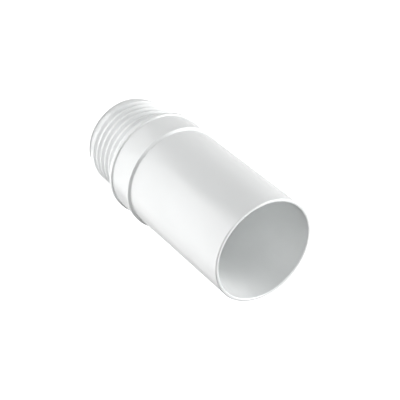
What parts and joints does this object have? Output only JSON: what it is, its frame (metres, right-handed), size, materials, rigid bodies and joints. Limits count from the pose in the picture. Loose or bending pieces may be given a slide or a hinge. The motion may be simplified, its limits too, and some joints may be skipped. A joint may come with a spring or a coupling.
{
  "type": "straight toilet extension",
  "caption": "Straight white plastic tube that lengthens a toilet's waste outlet, with a plain open mouth, a ringed collar and a narrower finned sealing end.",
  "frame": {"origin": "centre of the foot, where the end of the finned spigot stands on the floor", "axes": "+Z along the tube's axis, from the finned end up to the plain mouth; X and Y are any two directions across it"},
  "size_m": [0.115, 0.1148, 0.25],
  "materials": {
    "white_plastic": "smooth glossy white moulded polypropylene"
  },
  "bodies": {
    "root": {"extension_tube": "white_plastic"}
  },
  "joints": []
}
